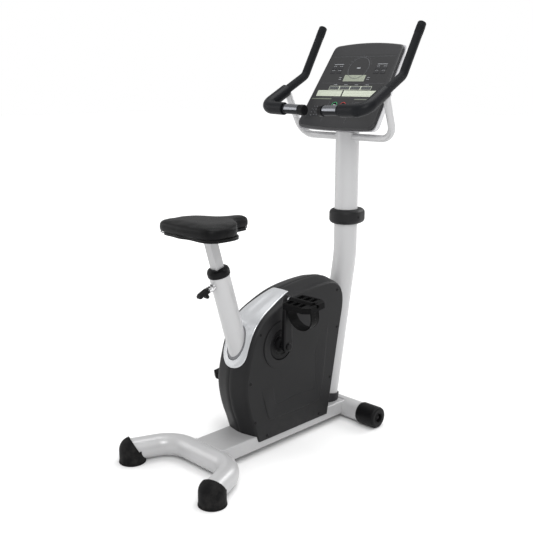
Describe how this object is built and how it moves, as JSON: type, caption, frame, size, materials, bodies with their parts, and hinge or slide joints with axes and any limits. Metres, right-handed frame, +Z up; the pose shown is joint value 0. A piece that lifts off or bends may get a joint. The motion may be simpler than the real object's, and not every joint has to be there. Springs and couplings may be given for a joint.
{
  "type": "exercise bike",
  "caption": "Upright exercise bike: C-shaped rear foot, enclosed belt drive, cranks with strap pedals, sliding saddle post, raised mast, console and bent handlebars",
  "frame": {"origin": "on the floor under the middle of the whole bike", "axes": "X to the rider's right, Y the way the rider faces, Z up"},
  "size_m": [0.5178, 1.0792, 1.4914],
  "materials": {
    "frame_paint": "silver-white powder coat",
    "beam_paint": "silver-grey powder coat",
    "steel": "bare machined steel",
    "bright_steel": "bright plated steel",
    "black_steel": "black coated steel",
    "iron": "cast iron, turned rim",
    "charcoal_plastic": "fine textured charcoal moulding",
    "silver_plastic": "silver metallic lacquered moulding",
    "black_plastic": "black moulding",
    "grey_plastic": "dark grey moulding",
    "white_plastic": "light silver moulding",
    "nylon": "natural nylon",
    "rubber_black": "black moulded rubber",
    "foam": "closed cell foam grip",
    "vinyl": "black synthetic leather",
    "belt_rubber": "ribbed belt",
    "lens": "tinted display window",
    "green_key": "green button",
    "red_key": "red button",
    "circuit": "circuit board"
  },
  "bodies": {
    "frame": {"rear_stabilizer": "frame_paint", "rear_feet": "rubber_black", "base_beam": "beam_paint", "front_stabilizer": "frame_paint", "front_tube_plugs": "black_plastic", "wheel_axle_bolts": "steel", "mast_lower": "frame_paint", "mast_upper": "frame_paint", "mast_boot": "grey_plastic", "mast_collar_front": "charcoal_plastic", "mast_collar_rear": "charcoal_plastic", "seat_tube": "frame_paint", "seat_tube_bushing": "nylon", "seat_collar": "black_plastic", "seat_tube_gasket": "grey_plastic", "pin_housing": "bright_steel", "drive_frame": "black_steel", "drive_bearings": "steel", "drive_belt": "belt_rubber", "brake_magnet": "black_steel", "shroud_left": "charcoal_plastic", "shroud_right": "charcoal_plastic", "shroud_screws": "black_steel", "shroud_top_cover": "silver_plastic", "handlebar_support": "frame_paint", "handlebar_tubes": "black_steel", "handlebar_grips": "foam", "handlebar_covers": "black_plastic", "pulse_sensors": "bright_steel", "handlebar_end_caps": "black_plastic", "console_front": "grey_plastic", "console_back": "white_plastic", "console_panel": "grey_plastic", "console_displays": "lens", "console_board": "circuit", "console_bracket": "black_steel"},
    "crank": {"crank_axle": "steel", "crank_arm_left": "black_steel", "crank_arm_right": "black_steel", "crank_caps": "bright_steel", "crank_discs": "black_plastic", "crank_pulley": "black_plastic", "pedal_axles": "steel"},
    "pedal_left": {"pedal_left": "black_plastic", "pedal_strap_left": "rubber_black"},
    "pedal_right": {"pedal_right": "black_plastic", "pedal_strap_right": "rubber_black"},
    "flywheel": {"flywheel": "iron", "flywheel_shaft": "steel", "flywheel_pulley": "steel"},
    "seat": {"seat_post": "beam_paint", "saddle_clamp": "black_steel", "saddle_base": "black_plastic", "saddle_pad": "vinyl"},
    "locking_pin": {"pin_plunger": "steel", "pin_lever": "black_plastic"},
    "wheel_left": {"wheel_left": "black_plastic"},
    "wheel_right": {"wheel_right": "black_plastic"},
    "start_button": {"start_button": "green_key"},
    "stop_button": {"stop_button": "red_key"}
  },
  "joints": [
    {"name": "crank_spin", "type": "hinge", "parent": "frame", "child": "crank", "pos_m": [0, -0.05036, 0.388], "axis": [1, 0, 0], "continuous": true},
    {"name": "flywheel_spin", "type": "hinge", "parent": "frame", "child": "flywheel", "pos_m": [0, 0.12464, 0.23], "axis": [1, 0, 0], "continuous": true},
    {"name": "pedal_left_spin", "type": "hinge", "parent": "crank", "child": "pedal_left", "pos_m": [-0.174, -0.05036, 0.218], "axis": [1, 0, 0], "continuous": true},
    {"name": "pedal_right_spin", "type": "hinge", "parent": "crank", "child": "pedal_right", "pos_m": [0.174, -0.05036, 0.558], "axis": [1, 0, 0], "continuous": true},
    {"name": "seat_height", "type": "slide", "parent": "frame", "child": "seat", "axis": [0, -0.288, 0.9576], "range_m": [-0.05, 0.15]},
    {"name": "pin_pull", "type": "slide", "parent": "frame", "child": "locking_pin", "axis": [0, -0.9576, -0.288], "range_m": [0, 0.008], "stiffness_N_per_m": 600},
    {"name": "wheel_left_spin", "type": "hinge", "parent": "frame", "child": "wheel_left", "pos_m": [-0.18, 0.33224, 0.0405], "axis": [1, 0, 0], "continuous": true},
    {"name": "wheel_right_spin", "type": "hinge", "parent": "frame", "child": "wheel_right", "pos_m": [0.18, 0.33224, 0.0405], "axis": [1, 0, 0], "continuous": true},
    {"name": "start_press", "type": "slide", "parent": "frame", "child": "start_button", "axis": [0, 0.8256, -0.5642], "range_m": [0, 0.0012], "stiffness_N_per_m": 400},
    {"name": "stop_press", "type": "slide", "parent": "frame", "child": "stop_button", "axis": [0, 0.8256, -0.5642], "range_m": [0, 0.0012], "stiffness_N_per_m": 400}
  ],
  "couplings": [
    {"joint": "flywheel_spin", "follows": "crank_spin", "ratio": 5}
  ]
}
